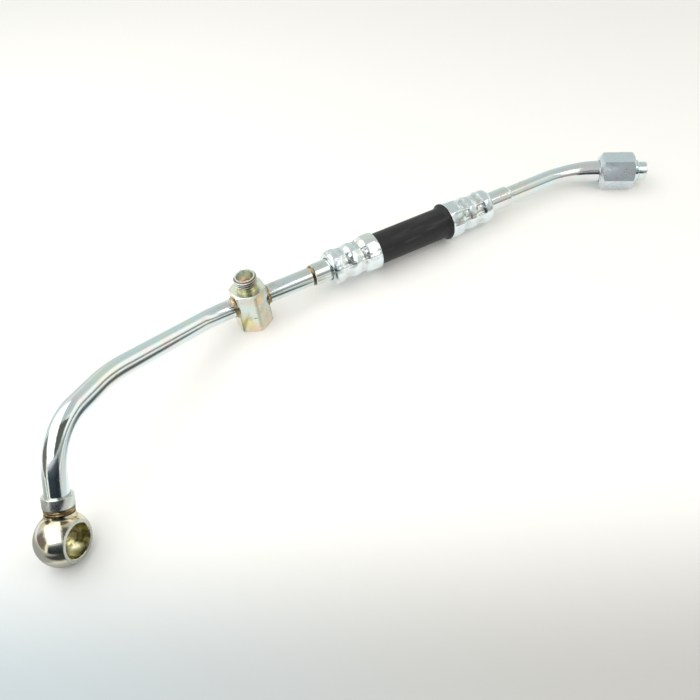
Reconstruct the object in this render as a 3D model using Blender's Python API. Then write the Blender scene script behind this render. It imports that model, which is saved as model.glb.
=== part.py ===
# Camshaft oil feed hose: a plated steel feed line with a banjo eye at one end, a
# hex tee block with a male port, a short crimped rubber hose and a union nut.
# The origin is the centre of the tee block's base. +Z is up along the port and
# +X lies across the banjo eye, as near as the eye's own tilt allows.

import math

import bmesh
import bpy
from mathutils import Matrix, Vector

for thing in list(bpy.data.objects):
    bpy.data.objects.remove(thing, do_unlink=True)

MM = 0.001

# Clearance between two pieces that are brazed, seated or crimped together.
SEAT_GAP = 0.3 * MM

# Steel tube of the whole line.
TUBE_OD = 10.0 * MM
TUBE_WALL = 1.0 * MM

# Banjo eye: a ball with two flats, bored across, with a neck that holds the tube.
BALL_OD = 22.8 * MM
EYE_WIDTH = 15.0 * MM
EYE_BORE = 14.0 * MM
EYE_CHAMFER = 0.35 * MM
EYE_X = -25.3 * MM
EYE_Y = -145.5 * MM
NECK_OD = 12.6 * MM
NECK_LENGTH = 0.9 * MM
NECK_FILLET = 0.9 * MM
EYE_SOCKET_DEPTH = 3.5 * MM
EYE_PASSAGE = 7.0 * MM
EYE_BRAZE_OD = 12.3 * MM
EYE_BRAZE_HEIGHT = 1.9 * MM
COLLAR_OD = 12.8 * MM
COLLAR_HEIGHT = 5.0 * MM
COLLAR_CHAMFER = 0.4 * MM

# Route of the inlet tube: the corners of its centre line, given in millimetres, and
# its bend radii.
FIRST_BEND_X = -30.0
FIRST_BEND_Y = -122.0
FIRST_BEND_HEIGHT = 49.4
FIRST_BEND = Vector((FIRST_BEND_X, FIRST_BEND_Y, FIRST_BEND_HEIGHT)) * MM
FIRST_RADIUS = 24.0 * MM
SECOND_BEND_X = -30.5
SECOND_BEND_Y = -80.7
SECOND_BEND_HEIGHT = 38.7
SECOND_BEND = Vector((SECOND_BEND_X, SECOND_BEND_Y, SECOND_BEND_HEIGHT)) * MM
SECOND_RADIUS = 77.0 * MM
THIRD_BEND_FROM_FACE = 12.5 * MM
THIRD_RADIUS = 34.0 * MM

# Tee block: hexagon bar standing on end, cross-drilled for the tubes.
TEE_AF = 17.0 * MM
TEE_HEIGHT = 23.5 * MM
TEE_CHAMFER = 0.9 * MM
LINE_HEIGHT = 14.3 * MM
TEE_SOCKET_DEPTH = 3.0 * MM
TEE_BRAZE_WIDTH = 1.5 * MM
TEE_BRAZE_THICK = 1.0 * MM

# Male port on top of the block.
PORT_OD = 12.0 * MM
PORT_HEIGHT = 7.5 * MM
PORT_CHAMFER = 0.6 * MM
PORT_UNDERCUT_OD = 10.2 * MM
PORT_UNDERCUT_HEIGHT = 2.3 * MM
PORT_CONE_MOUTH = 8.8 * MM
PORT_CONE_DEPTH = 5.6 * MM
PORT_SEAT_OD = 6.4 * MM
PORT_BORE = 4.4 * MM

# The straight run from the tee to the corner of the outlet bend.
LINE_HEADING = math.radians(45.64)
LINE_LENGTH = 212.0 * MM
LEFT_STEM_FROM_TEE = 36.5 * MM

# Hose stems: a sleeve that takes the tube and a ribbed tail inside the hose.
SLEEVE_OD = 12.0 * MM
SLEEVE_CHAMFER = 0.4 * MM
LEFT_SLEEVE_SHOWN = 9.5 * MM
RIGHT_SLEEVE_SHOWN = 15.0 * MM
SLEEVE_SOCKET_DEPTH = 6.0 * MM
STEM_BORE = 7.4 * MM
TAIL_OD = 10.4 * MM
TAIL_RIB_DEPTH = 0.4 * MM
TAIL_RIBS = 3
TAIL_SETBACK = 2.0 * MM
STEM_BRAZE_WIDTH = 1.2 * MM

# Crimped ferrules, the same piece at both ends of the hose.
FERRULE_LENGTH = 29.0 * MM
FERRULE_WALL = 1.0 * MM
FERRULE_END_WALL = 1.6 * MM
FERRULE_END_CHAMFER = 1.1 * MM
END_RING_OD = 19.4 * MM
END_RING_LENGTH = 7.6 * MM
MIDDLE_RING_OD = 19.0 * MM
MIDDLE_RING_LENGTH = 7.2 * MM
FIRST_GROOVE_OD = 17.2 * MM
SECOND_GROOVE_OD = 17.6 * MM
GROOVE_WIDTH = 2.4 * MM
MOUTH_OD = 20.8 * MM
MOUTH_RIM = 0.4 * MM

# Rubber hose.
HOSE_OD = 17.6 * MM
HOSE_SHOWN = 46.8 * MM
LEFT_BULGE_LENGTH = 1.6 * MM
RIGHT_LIP_OD = 20.8 * MM
RIGHT_LIP_LENGTH = 3.4 * MM

# Outlet tube after the right stem.
OUTLET_RADIUS = 50.0 * MM
OUTLET_HEADING = math.radians(9.1)
SWELL_OD = 12.6 * MM
SWELL_LENGTH = 26.0 * MM

# Union nut and the nipple that it pulls into its seat.
NUT_AF = 19.0 * MM
NUT_LENGTH = 20.0 * MM
NUT_FROM_BEND = 18.6 * MM
NUT_CHAMFER = 1.2 * MM
NUT_BACK_WALL = 3.6 * MM
NUT_THREAD_BORE = 14.7 * MM
NUT_RUNNING_GAP = 0.3 * MM
NIPPLE_SHOULDER_LENGTH = 6.0 * MM
NIPPLE_RING_OD = 13.0 * MM
NIPPLE_RING_SHOWN = 2.0 * MM
NIPPLE_GROOVE_OD = 10.0 * MM
NIPPLE_GROOVE_WIDTH = 0.8 * MM
NIPPLE_TIP_OD = 11.0 * MM
NIPPLE_TIP_LENGTH = 4.5 * MM
NIPPLE_TIP_TAPER = 0.5 * MM
NIPPLE_SPIGOT_LENGTH = 4.0 * MM
NIPPLE_BORE = 7.0 * MM

ROUND = 24
TUBE_SIDES = 20

tube_r = TUBE_OD / 2
bore_r = tube_r - TUBE_WALL
socket_r = tube_r + SEAT_GAP
up = Vector((0, 0, 1))


def material(name, colour, metallic, roughness):
    found = bpy.data.materials.get(name)
    if found:
        return found
    made = bpy.data.materials.new(name)
    made.use_nodes = True
    shader = made.node_tree.nodes["Principled BSDF"]
    shader.inputs["Base Color"].default_value = (*colour, 1.0)
    shader.inputs["Metallic"].default_value = metallic
    shader.inputs["Roughness"].default_value = roughness
    made.diffuse_color = (*colour, 1.0)
    return made


def bright_zinc():
    return material("bright_zinc_tube", (0.66, 0.72, 0.73), 1.0, 0.16)


def satin_zinc():
    return material("satin_zinc_block", (0.62, 0.64, 0.56), 1.0, 0.3)


def white_zinc():
    return material("white_zinc_ferrule", (0.74, 0.78, 0.79), 1.0, 0.26)


def nut_zinc():
    return material("satin_zinc_nut", (0.56, 0.61, 0.64), 1.0, 0.34)


def braze():
    return material("brown_braze", (0.32, 0.2, 0.1), 1.0, 0.42)


def rubber():
    return material("black_rubber", (0.018, 0.018, 0.019), 0.0, 0.62)


def finish(bm, name, look, matrix):
    bmesh.ops.remove_doubles(bm, verts=bm.verts, dist=1e-7)
    bmesh.ops.recalc_face_normals(bm, faces=bm.faces)
    if bm.calc_volume(signed=True) < 0:
        bmesh.ops.reverse_faces(bm, faces=bm.faces)
    mesh = bpy.data.meshes.new(name)
    bm.to_mesh(mesh)
    bm.free()
    mesh.shade_smooth()
    mesh.set_sharp_from_angle(angle=math.radians(28))
    return place(mesh, name, look, matrix)


def place(mesh, name, look, matrix):
    item = bpy.data.objects.new(name, mesh)
    bpy.context.collection.objects.link(item)
    item.matrix_world = matrix
    if look and not mesh.materials:
        mesh.materials.append(look)
    return item


def axis_frame(origin, axis, side=up):
    z = axis.normalized()
    y = (side - z * side.dot(z)).normalized()
    x = y.cross(z)
    frame = Matrix((x, y, z)).transposed().to_4x4()
    frame.translation = origin
    return frame


def turned(name, profile, look, matrix, steps=ROUND):
    # profile: closed outline as (distance along the axis, radius) pairs.
    bm = bmesh.new()
    ring = [bm.verts.new((radius, 0.0, along)) for along, radius in profile]
    edges = [bm.edges.new((ring[i - 1], ring[i])) for i in range(len(ring))]
    on_axis = [e for e in edges if all(v.co.x < 1e-9 for v in e.verts)]
    for edge in on_axis:
        bm.edges.remove(edge)
        edges.remove(edge)
    bmesh.ops.spin(bm, geom=ring + edges, cent=(0, 0, 0), axis=(0, 0, 1),
                   angle=2 * math.pi, steps=steps, use_merge=True)
    return finish(bm, name, look, matrix)


def hexagon(name, across_flats, low, high, look, matrix):
    bm = bmesh.new()
    made = bmesh.ops.create_circle(bm, cap_ends=True, segments=6,
                                   radius=across_flats / math.sqrt(3))
    for vert in made["verts"]:
        vert.co = Matrix.Rotation(math.radians(30), 3, "Z") @ vert.co
        vert.co.z = low
    grown = bmesh.ops.extrude_face_region(bm, geom=bm.faces[:])
    top = [g for g in grown["geom"] if isinstance(g, bmesh.types.BMVert)]
    bmesh.ops.translate(bm, verts=top, vec=(0, 0, high - low))
    return finish(bm, name, look, matrix)


def cut(item, tool, operation):
    step = item.modifiers.new(operation.lower(), "BOOLEAN")
    step.operation = operation
    step.solver = "EXACT"
    step.object = tool
    tool.hide_render = True
    tool.display_type = "WIRE"


def smooth_after_cut(item):
    bpy.context.view_layer.update()
    shape = bpy.data.meshes.new_from_object(
        item.evaluated_get(bpy.context.evaluated_depsgraph_get()))
    tools = [m.object for m in item.modifiers if m.type == "BOOLEAN"]
    item.modifiers.clear()
    old = item.data
    item.data = shape
    bpy.data.meshes.remove(old)
    for tool in tools:
        bpy.data.objects.remove(tool, do_unlink=True)
    bm = bmesh.new()
    bm.from_mesh(shape)
    bmesh.ops.remove_doubles(bm, verts=bm.verts, dist=2e-6)
    bmesh.ops.dissolve_degenerate(bm, edges=bm.edges, dist=2e-6)
    bm.to_mesh(shape)
    bm.free()
    shape.shade_smooth()
    shape.set_sharp_from_angle(angle=math.radians(28))


def rounded_route(corners, radii, step=math.radians(7)):
    # Straight legs joined by bends that are tangent to both legs.
    points = [corners[0].copy()]
    for i in range(1, len(corners) - 1):
        back = (corners[i - 1] - corners[i]).normalized()
        ahead = (corners[i + 1] - corners[i]).normalized()
        opening = back.angle(ahead)
        radius = radii[i - 1]
        reach = radius / math.tan(opening / 2)
        centre = corners[i] + (back + ahead).normalized() * radius / math.sin(opening / 2)
        start = corners[i] + back * reach - centre
        turn = math.pi - opening
        hinge = start.cross(corners[i] + ahead * reach - centre).normalized()
        count = max(2, round(turn / step))
        for k in range(count + 1):
            points.append(centre + Matrix.Rotation(turn * k / count, 3, hinge) @ start)
    points.append(corners[-1].copy())
    return points


def pipe(name, points, outer, inner, look, sides=TUBE_SIDES):
    # outer and inner give the radii at each point of the centre line.
    heading = [(points[min(i + 1, len(points) - 1)] - points[max(i - 1, 0)]).normalized()
               for i in range(len(points))]
    side = heading[0].orthogonal().normalized()
    bm = bmesh.new()
    rings = []
    for point, way, r_out, r_in in zip(points, heading, outer, inner):
        side = (side - way * side.dot(way)).normalized()
        other = way.cross(side)
        pair = []
        for radius in (r_out, r_in):
            row = []
            for k in range(sides):
                a = 2 * math.pi * k / sides
                spot = point + (side * math.cos(a) + other * math.sin(a)) * radius
                row.append(bm.verts.new(spot - points[0]))
            pair.append(row)
        rings.append(pair)
    for k in range(sides):
        n = (k + 1) % sides
        for a, b in zip(rings[:-1], rings[1:]):
            bm.faces.new((a[0][k], a[0][n], b[0][n], b[0][k]))
            bm.faces.new((a[1][n], a[1][k], b[1][k], b[1][n]))
        for end in (rings[0], rings[-1]):
            bm.faces.new((end[0][k], end[1][k], end[1][n], end[0][n]))
    return finish(bm, name, look, Matrix.Translation(points[0]))


# Places along the line, worked out from the sizes above.
tee_centre = Vector((0, 0, LINE_HEIGHT))
outlet_bend = Vector((math.cos(LINE_HEADING), math.sin(LINE_HEADING), 0)) * LINE_LENGTH
outlet_bend.z = NUT_AF / 2
line_way = (outlet_bend - tee_centre).normalized()
nut_way = Vector((math.cos(OUTLET_HEADING), math.sin(OUTLET_HEADING), 0))
eye_centre = Vector((EYE_X, EYE_Y, BALL_OD / 2))
neck_way = (FIRST_BEND - eye_centre).normalized()
eye_way = Vector((neck_way.z, 0, -neck_way.x)).normalized()


def along_line(distance):
    return tee_centre + line_way * distance


# Distances from the banjo ball's centre along the neck.
neck_root = math.sqrt((BALL_OD / 2) ** 2 - (NECK_OD / 2 + NECK_FILLET) ** 2)
neck_top = neck_root + NECK_FILLET * 2 + NECK_LENGTH
eye_socket_floor = neck_top - EYE_SOCKET_DEPTH
eye_braze_low = neck_top + SEAT_GAP
eye_braze_top = eye_braze_low + EYE_BRAZE_HEIGHT
collar_low = eye_braze_top + SEAT_GAP

# Distances from the tee's axis along the straight run.
tee_socket_floor = TEE_AF / 2 - TEE_SOCKET_DEPTH
left_ferrule = LEFT_STEM_FROM_TEE + LEFT_SLEEVE_SHOWN
left_mouth = left_ferrule + FERRULE_LENGTH
right_mouth = left_mouth + HOSE_SHOWN
right_ferrule = right_mouth + FERRULE_LENGTH
right_stem_end = right_ferrule + RIGHT_SLEEVE_SHOWN

# Distances from the outlet bend's corner along the nut's axis.
nut_back = NUT_FROM_BEND
nut_front = nut_back + NUT_LENGTH
shoulder_back = nut_back + NUT_BACK_WALL + NUT_RUNNING_GAP
swell_r = SWELL_OD / 2
nut_hole_r = swell_r + NUT_RUNNING_GAP
shoulder_r = NUT_THREAD_BORE / 2 - NUT_RUNNING_GAP


def ferrule_outline(shift):
    # Outside of the ferrule, from its stem end, moved in or out by shift.
    end = END_RING_OD / 2 + shift
    middle = MIDDLE_RING_OD / 2 + shift
    mouth = MOUTH_OD / 2 + shift
    first = FIRST_GROOVE_OD / 2 + shift
    second = SECOND_GROOVE_OD / 2 + shift
    wide = GROOVE_WIDTH / 2
    g1 = END_RING_LENGTH + wide
    g2 = g1 + wide + MIDDLE_RING_LENGTH + wide
    return [
        (END_RING_LENGTH, end),
        (g1 - wide * 0.3, first),
        (g1 + wide * 0.3, first),
        (g1 + wide, middle),
        (g2 - wide, middle),
        (g2 - wide * 0.3, second),
        (g2 + wide * 0.3, second),
        (g2 + wide * 1.2, mouth),
    ]


def make_banjo():
    frame = axis_frame(eye_centre, eye_way, neck_way)
    half = EYE_WIDTH / 2
    bore = EYE_BORE / 2
    count = 10
    outline = []
    for k in range(count + 1):
        x = -half + EYE_WIDTH * k / count
        outline.append((x, math.sqrt((BALL_OD / 2) ** 2 - x * x)))
    outline += [
        (half, bore + EYE_CHAMFER),
        (half - EYE_CHAMFER, bore),
        (-half + EYE_CHAMFER, bore),
        (-half, bore + EYE_CHAMFER),
    ]
    eye = turned("banjo_eye", outline, satin_zinc(), frame, 32)
    neck_frame = axis_frame(eye_centre, neck_way, eye_way)
    r = NECK_OD / 2
    f = NECK_FILLET
    neck = turned("neck_tool", [
        (neck_root - 1.0 * MM, 0),
        (neck_root - 1.0 * MM, r + f),
        (neck_root, r + f),
        (neck_root + f * 0.3, r + f * 0.5),
        (neck_root + f, r + f * 0.13),
        (neck_root + f * 2, r),
        (neck_top, r),
        (neck_top, 0),
    ], None, neck_frame)
    drill = turned("drill_tool", [
        (0, 0),
        (0, EYE_PASSAGE / 2),
        (eye_socket_floor, EYE_PASSAGE / 2),
        (eye_socket_floor, socket_r),
        (neck_top + 2 * MM, socket_r),
        (neck_top + 2 * MM, 0),
    ], None, neck_frame)
    cut(eye, neck, "UNION")
    cut(eye, drill, "DIFFERENCE")
    smooth_after_cut(eye)

    ring = EYE_BRAZE_OD / 2
    turned("banjo_braze_ring", [
        (eye_braze_low, socket_r),
        (eye_braze_low, ring - 0.2 * MM),
        (eye_braze_low + EYE_BRAZE_HEIGHT * 0.3, ring),
        (eye_braze_low + EYE_BRAZE_HEIGHT * 0.7, ring),
        (eye_braze_top, ring - 0.2 * MM),
        (eye_braze_top, socket_r),
    ], braze(), neck_frame)
    collar = COLLAR_OD / 2
    high = collar_low + COLLAR_HEIGHT
    turned("tube_collar", [
        (collar_low, socket_r),
        (collar_low, collar - COLLAR_CHAMFER),
        (collar_low + COLLAR_CHAMFER, collar),
        (high - COLLAR_CHAMFER, collar),
        (high, collar - COLLAR_CHAMFER),
        (high, socket_r),
    ], satin_zinc(), neck_frame)


def make_inlet_tube():
    start = eye_centre + neck_way * (eye_socket_floor + SEAT_GAP)
    end = along_line(-(tee_socket_floor + SEAT_GAP))
    last_bend = along_line(-(TEE_AF / 2 + THIRD_BEND_FROM_FACE))
    corners = [start, FIRST_BEND, SECOND_BEND, last_bend, end]
    radii = [FIRST_RADIUS, SECOND_RADIUS, THIRD_RADIUS]
    points = rounded_route(corners, radii)
    pipe("inlet_tube", points, [tube_r] * len(points), [bore_r] * len(points), bright_zinc())


def make_tee():
    frame = Matrix.Rotation(LINE_HEADING - math.radians(30), 4, "Z")
    top = TEE_HEIGHT + PORT_HEIGHT
    block = hexagon("tee_block", TEE_AF, 0, top, satin_zinc(), frame)
    corner = TEE_AF / math.sqrt(3)
    face = TEE_AF / 2
    port = PORT_OD / 2
    shape = turned("shape_tool", [
        (0, 0),
        (0, face - 0.2 * MM),
        (TEE_CHAMFER, corner + 0.2 * MM),
        (TEE_HEIGHT - TEE_CHAMFER, corner + 0.2 * MM),
        (TEE_HEIGHT, face - 0.2 * MM),
        (TEE_HEIGHT, PORT_UNDERCUT_OD / 2),
        (TEE_HEIGHT + PORT_UNDERCUT_HEIGHT, PORT_UNDERCUT_OD / 2),
        (TEE_HEIGHT + PORT_UNDERCUT_HEIGHT + (PORT_OD - PORT_UNDERCUT_OD) / 2, port),
        (top - PORT_CHAMFER, port),
        (top, port - PORT_CHAMFER),
        (top, 0),
    ], None, Matrix.Identity(4))
    seat = top - PORT_CONE_DEPTH
    slope = (PORT_CONE_MOUTH - PORT_SEAT_OD) / 2 / PORT_CONE_DEPTH
    mouth = turned("mouth_tool", [
        (LINE_HEIGHT, 0),
        (LINE_HEIGHT, PORT_BORE / 2),
        (seat - (PORT_SEAT_OD - PORT_BORE) / 2, PORT_BORE / 2),
        (seat, PORT_SEAT_OD / 2),
        (top + 1 * MM, PORT_CONE_MOUTH / 2 + slope * MM),
        (top + 1 * MM, 0),
    ], None, Matrix.Identity(4), 24)
    reach = TEE_AF
    cross = turned("cross_tool", [
        (-reach, 0),
        (-reach, socket_r),
        (-tee_socket_floor, socket_r),
        (-tee_socket_floor, bore_r),
        (tee_socket_floor, bore_r),
        (tee_socket_floor, socket_r),
        (reach, socket_r),
        (reach, 0),
    ], None, axis_frame(tee_centre, line_way), 24)
    cut(block, shape, "INTERSECT")
    cut(block, mouth, "DIFFERENCE")
    cut(block, cross, "DIFFERENCE")
    smooth_after_cut(block)

    # The face leans a little against the sloping line, so the fillets stand off it.
    lean = (socket_r + TEE_BRAZE_THICK) * abs(line_way.z)
    low = TEE_AF / 2 + SEAT_GAP + lean
    for name, way in (("tee_braze_inlet", -1), ("tee_braze_link", 1)):
        turned(name, [
            (low, socket_r),
            (low, socket_r + TEE_BRAZE_THICK),
            (low + TEE_BRAZE_WIDTH * 0.3, socket_r + TEE_BRAZE_THICK * 0.55),
            (low + TEE_BRAZE_WIDTH * 0.65, socket_r + TEE_BRAZE_THICK * 0.3),
            (low + TEE_BRAZE_WIDTH, socket_r + TEE_BRAZE_THICK * 0.18),
            (low + TEE_BRAZE_WIDTH, socket_r),
        ], braze(), axis_frame(tee_centre, line_way * way))


def make_link_tube():
    start = along_line(tee_socket_floor + SEAT_GAP)
    end = along_line(LEFT_STEM_FROM_TEE + SLEEVE_SOCKET_DEPTH - SEAT_GAP)
    pipe("link_tube", [start, end], [tube_r] * 2, [bore_r] * 2, bright_zinc())


def make_stem(name, braze_name, origin, way, shown):
    # Local distances run from the ferrule's stem end towards the hose.
    frame = axis_frame(origin, way)
    outer = SLEEVE_OD / 2
    tail = TAIL_OD / 2
    step = FERRULE_END_WALL + SEAT_GAP
    end = FERRULE_LENGTH - TAIL_SETBACK
    pitch = (end - step) / TAIL_RIBS
    outline = [
        (-shown, socket_r),
        (-shown, outer - SLEEVE_CHAMFER),
        (-shown + SLEEVE_CHAMFER, outer),
        (step, outer),
    ]
    for k in range(TAIL_RIBS):
        outline.append((step + pitch * k, tail - TAIL_RIB_DEPTH))
        outline.append((step + pitch * (k + 0.75), tail))
    outline += [
        (end, tail - TAIL_RIB_DEPTH),
        (end, STEM_BORE / 2),
        (-shown + SLEEVE_SOCKET_DEPTH, STEM_BORE / 2),
        (-shown + SLEEVE_SOCKET_DEPTH, socket_r),
    ]
    turned(name, outline, bright_zinc(), frame)
    edge = -shown - SEAT_GAP
    rise = outer - SLEEVE_CHAMFER - socket_r
    turned(braze_name, [
        (edge, socket_r),
        (edge - STEM_BRAZE_WIDTH, socket_r),
        (edge - STEM_BRAZE_WIDTH, socket_r + rise * 0.4),
        (edge - STEM_BRAZE_WIDTH * 0.5, socket_r + rise * 1.1),
        (edge, socket_r + rise * 1.6),
    ], braze(), frame)


def make_ferrules():
    inner_end = SLEEVE_OD / 2 + SEAT_GAP
    end = END_RING_OD / 2
    mouth = MOUTH_OD / 2
    inside = ferrule_outline(-FERRULE_WALL)
    outline = [
        (0, inner_end),
        (0, end - FERRULE_END_CHAMFER),
        (FERRULE_END_CHAMFER, end),
    ]
    outline += ferrule_outline(0)
    outline += [
        (FERRULE_LENGTH - MOUTH_RIM, mouth),
        (FERRULE_LENGTH, mouth - MOUTH_RIM),
        (FERRULE_LENGTH, mouth - FERRULE_WALL),
    ]
    outline += inside[::-1]
    outline += [
        (FERRULE_END_WALL, end - FERRULE_WALL),
        (FERRULE_END_WALL, inner_end),
    ]
    left = turned("ferrule_left", outline, white_zinc(),
                  axis_frame(along_line(left_ferrule), line_way), 28)
    place(left.data, "ferrule_right", None,
          axis_frame(along_line(right_ferrule), -line_way))


def make_hose():
    # Local distances run from the left ferrule's stem end to the right one's.
    total = right_ferrule - left_ferrule
    start = FERRULE_END_WALL + 2 * SEAT_GAP
    hose = HOSE_OD / 2
    inner = TAIL_OD / 2 + SEAT_GAP
    held = ferrule_outline(-FERRULE_WALL - SEAT_GAP)
    fill = MOUTH_OD / 2 - FERRULE_WALL - SEAT_GAP
    lip = RIGHT_LIP_OD / 2
    left = FERRULE_LENGTH
    right = total - FERRULE_LENGTH
    outline = [(start, inner), (start, END_RING_OD / 2 - FERRULE_WALL - SEAT_GAP)]
    outline += held
    outline += [
        (left + LEFT_BULGE_LENGTH * 0.4, fill),
        (left + LEFT_BULGE_LENGTH, hose),
        (right - SEAT_GAP - RIGHT_LIP_LENGTH, hose),
        (right - SEAT_GAP - RIGHT_LIP_LENGTH * 0.7, hose + (lip - hose) * 0.18),
        (right - SEAT_GAP - RIGHT_LIP_LENGTH * 0.4, hose + (lip - hose) * 0.5),
        (right - SEAT_GAP - RIGHT_LIP_LENGTH * 0.15, lip),
        (right - SEAT_GAP, lip),
        (right - SEAT_GAP, fill),
    ]
    outline += [(total - x, r) for x, r in held[::-1]]
    outline += [(total - start, END_RING_OD / 2 - FERRULE_WALL - SEAT_GAP), (total - start, inner)]
    turned("rubber_hose", outline, rubber(), axis_frame(along_line(left_ferrule), line_way), 28)


def make_outlet_tube():
    start = along_line(right_stem_end - SLEEVE_SOCKET_DEPTH + SEAT_GAP)
    end_at = shoulder_back - SEAT_GAP
    end = outlet_bend + nut_way * end_at
    bent = rounded_route([start, outlet_bend, end], [OUTLET_RADIUS], math.radians(3.5))
    points = bent[:1]
    for spot in bent[1:-1]:
        points.append(spot)
    straight = points[-1]
    points.append(outlet_bend + nut_way * (nut_back - 0.5 * MM))
    points.append(end)
    lengths = [0.0]
    for a, b in zip(points[:-1], points[1:]):
        lengths.append(lengths[-1] + (b - a).length)
    whole = lengths[points.index(straight) + 1]
    outer = []
    for reach in lengths:
        t = min(1.0, max(0.0, (reach - whole + SWELL_LENGTH) / SWELL_LENGTH))
        outer.append(tube_r + (swell_r - tube_r) * t * t * (3 - 2 * t))
    inner = [r - TUBE_WALL for r in outer]
    pipe("outlet_tube", points, outer, inner, bright_zinc())


def make_nut():
    middle = outlet_bend + nut_way * (nut_back + NUT_LENGTH / 2)
    frame = axis_frame(middle, nut_way)
    half = NUT_LENGTH / 2
    nut = hexagon("union_nut", NUT_AF, -half, half, nut_zinc(), frame)
    corner = NUT_AF / math.sqrt(3) + 0.2 * MM
    edge = NUT_AF / 2 - 0.4 * MM
    shape = turned("nut_shape_tool", [
        (-half, 0),
        (-half, edge),
        (-half + NUT_CHAMFER, corner),
        (half - NUT_CHAMFER, corner),
        (half, edge),
        (half, 0),
    ], None, frame)
    thread = NUT_THREAD_BORE / 2
    floor = -half + NUT_BACK_WALL
    bore = turned("nut_bore_tool", [
        (-half - 1 * MM, 0),
        (-half - 1 * MM, nut_hole_r),
        (floor, nut_hole_r),
        (floor, thread),
        (half - 0.8 * MM, thread),
        (half + 0.2 * MM, thread + 1.0 * MM),
        (half + 1 * MM, thread + 1.0 * MM),
        (half + 1 * MM, 0),
    ], None, frame)
    cut(nut, shape, "INTERSECT")
    cut(nut, bore, "DIFFERENCE")
    smooth_after_cut(nut)

    ring = NIPPLE_RING_OD / 2
    groove = NIPPLE_GROOVE_OD / 2
    tip = NIPPLE_TIP_OD / 2
    ring_end = nut_front + NIPPLE_RING_SHOWN
    groove_end = ring_end + NIPPLE_GROOVE_WIDTH
    tip_end = groove_end + NIPPLE_TIP_LENGTH
    spigot = swell_r - TUBE_WALL - SEAT_GAP
    shoulder_front = shoulder_back + NIPPLE_SHOULDER_LENGTH
    turned("cone_nipple", [
        (shoulder_back - NIPPLE_SPIGOT_LENGTH, NIPPLE_BORE / 2),
        (shoulder_back - NIPPLE_SPIGOT_LENGTH, spigot),
        (shoulder_back, spigot),
        (shoulder_back, shoulder_r),
        (shoulder_front, shoulder_r),
        (shoulder_front + (shoulder_r - ring), ring),
        (ring_end - 0.3 * MM, ring),
        (ring_end, ring - 0.3 * MM),
        (ring_end, groove),
        (groove_end, groove),
        (groove_end, tip),
        (tip_end - NIPPLE_TIP_TAPER, tip - 0.1 * MM),
        (tip_end, tip - NIPPLE_TIP_TAPER),
        (tip_end, NIPPLE_BORE / 2),
    ], bright_zinc(), axis_frame(outlet_bend, nut_way))


def main():
    make_banjo()
    make_inlet_tube()
    make_tee()
    make_link_tube()
    make_stem("hose_stem_left", "stem_braze_left", along_line(left_ferrule),
              line_way, LEFT_SLEEVE_SHOWN)
    make_ferrules()
    make_hose()
    make_stem("hose_stem_right", "stem_braze_right", along_line(right_ferrule),
              -line_way, RIGHT_SLEEVE_SHOWN)
    make_outlet_tube()
    make_nut()


main()
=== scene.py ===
import math

import bpy
from mathutils import Matrix, Vector, noise


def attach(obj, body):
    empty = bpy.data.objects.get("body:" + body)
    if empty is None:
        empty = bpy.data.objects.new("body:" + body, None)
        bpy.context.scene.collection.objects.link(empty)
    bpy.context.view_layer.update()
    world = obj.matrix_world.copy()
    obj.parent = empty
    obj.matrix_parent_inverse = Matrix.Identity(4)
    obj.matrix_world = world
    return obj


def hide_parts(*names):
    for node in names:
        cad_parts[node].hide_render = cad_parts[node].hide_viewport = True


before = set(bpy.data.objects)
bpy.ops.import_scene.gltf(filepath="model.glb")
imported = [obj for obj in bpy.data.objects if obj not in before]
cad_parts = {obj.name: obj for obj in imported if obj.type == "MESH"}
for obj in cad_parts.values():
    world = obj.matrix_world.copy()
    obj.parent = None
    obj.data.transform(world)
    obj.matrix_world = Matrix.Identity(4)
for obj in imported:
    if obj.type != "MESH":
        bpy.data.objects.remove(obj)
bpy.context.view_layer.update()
print("frame loaded")

up = Vector((0, 0, 1))

# sizes are in millimetres, and a piece becomes metres when it is dressed
mm = 0.001
gap = 0.3

# angles in degrees up to which an edge is shaded round
facetAngle = 13
roundAngle = 50


def deselectAll():
    if bpy.context.object and bpy.context.object.mode != "OBJECT":
        bpy.ops.object.mode_set(mode="OBJECT")
    bpy.ops.object.select_all(action="DESELECT")


def pick(piece):
    deselectAll()
    piece.select_set(True)
    bpy.context.view_layer.objects.active = piece


def openMesh(piece):
    pick(piece)
    bpy.ops.object.mode_set(mode="EDIT")
    bpy.ops.mesh.select_all(action="SELECT")


def closeMesh():
    bpy.ops.object.mode_set(mode="OBJECT")


def axisPlace(origin, way, side=up):
    z = way.normalized()
    y = (side - z * side.dot(z)).normalized()
    x = y.cross(z)
    place = Matrix((x, y, z)).transposed().to_4x4()
    place.translation = origin
    return place


def applyModifier(piece, kind, **settings):
    pick(piece)
    step = piece.modifiers.new(kind.lower(), kind)
    for name, value in settings.items():
        setattr(step, name, value)
    bpy.ops.object.modifier_apply(modifier=step.name)


def softEdges(piece, width, angle=30, segments=2):
    applyModifier(piece, "BEVEL", width=width, segments=segments, limit_method="ANGLE",
                  angle_limit=math.radians(angle), use_clamp_overlap=True)


def smooth(piece, angle=32):
    pick(piece)
    bpy.ops.object.shade_smooth_by_angle(angle=math.radians(angle))


def lumpy(piece, height, size):
    # hand-brazed beads and pressed metal are never quite even
    for vert in piece.data.vertices:
        spot = vert.co / size
        swell = noise.noise(spot) + 0.5 * noise.noise(spot * 2.1)
        vert.co += vert.normal * swell * height


def combine(piece, tool, operation):
    applyModifier(piece, "BOOLEAN", operation=operation, solver="EXACT", object=tool)
    bpy.data.objects.remove(tool, do_unlink=True)


def weld(piece, distance=0.002):
    openMesh(piece)
    bpy.ops.mesh.remove_doubles(threshold=distance)
    bpy.ops.mesh.normals_make_consistent(inside=False)
    closeMesh()


def joinTo(piece, *others):
    pick(piece)
    for other in others:
        other.select_set(True)
    bpy.ops.object.join()


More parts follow.
